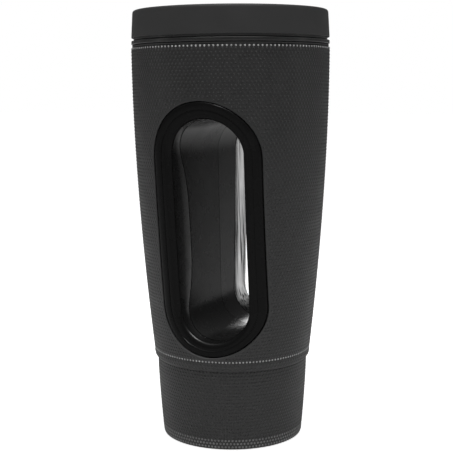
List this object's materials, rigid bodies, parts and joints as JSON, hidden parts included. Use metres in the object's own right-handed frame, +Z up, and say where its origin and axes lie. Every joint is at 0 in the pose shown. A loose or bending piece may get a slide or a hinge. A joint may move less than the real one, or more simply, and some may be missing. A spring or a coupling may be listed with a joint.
{
  "type": "drinking tumbler with a grip slot",
  "caption": "Black double-walled travel tumbler with a flat lid, a drink slider, a stepped base and a rubber-edged slot through its side for the hand.",
  "frame": {"origin": "centre of the base, on the face it stands on", "axes": "+Z up through the lid, +Y along the grip slot, +X towards the side that the hand closes round"},
  "size_m": [0.0982, 0.0982, 0.2127],
  "materials": {
    "shell_satin": "satin",
    "lid_matte": "matte",
    "gloss_black": "gloss",
    "soft_rubber": "matte",
    "silicone_grey": "satin",
    "liner_black": "semi-gloss"
  },
  "bodies": {
    "vessel": {"foot_pad": "soft_rubber", "base_plate": "lid_matte", "base_seal": "silicone_grey", "base_shell": "shell_satin", "liner_cushion": "soft_rubber", "liner": "liner_black", "outer_shell": "shell_satin", "rim_seal": "soft_rubber", "rim_ring": "gloss_black", "front_bezel": "soft_rubber", "rear_bezel": "soft_rubber", "front_sleeve": "gloss_black", "rear_sleeve": "gloss_black"},
    "lid": {"lid_cap": "lid_matte", "lid_plug": "liner_black", "lid_gasket": "silicone_grey"},
    "slider": {"drink_slider": "lid_matte", "slider_seal": "silicone_grey", "slider_keeper": "lid_matte"}
  },
  "joints": [
    {"name": "lid_lift", "type": "slide", "parent": "vessel", "child": "lid", "axis": [0, 0, 1], "range_m": [0, 0.06]},
    {"name": "slider_slide", "type": "slide", "parent": "lid", "child": "slider", "axis": [0, 1, 0], "range_m": [0, 0.013]}
  ]
}
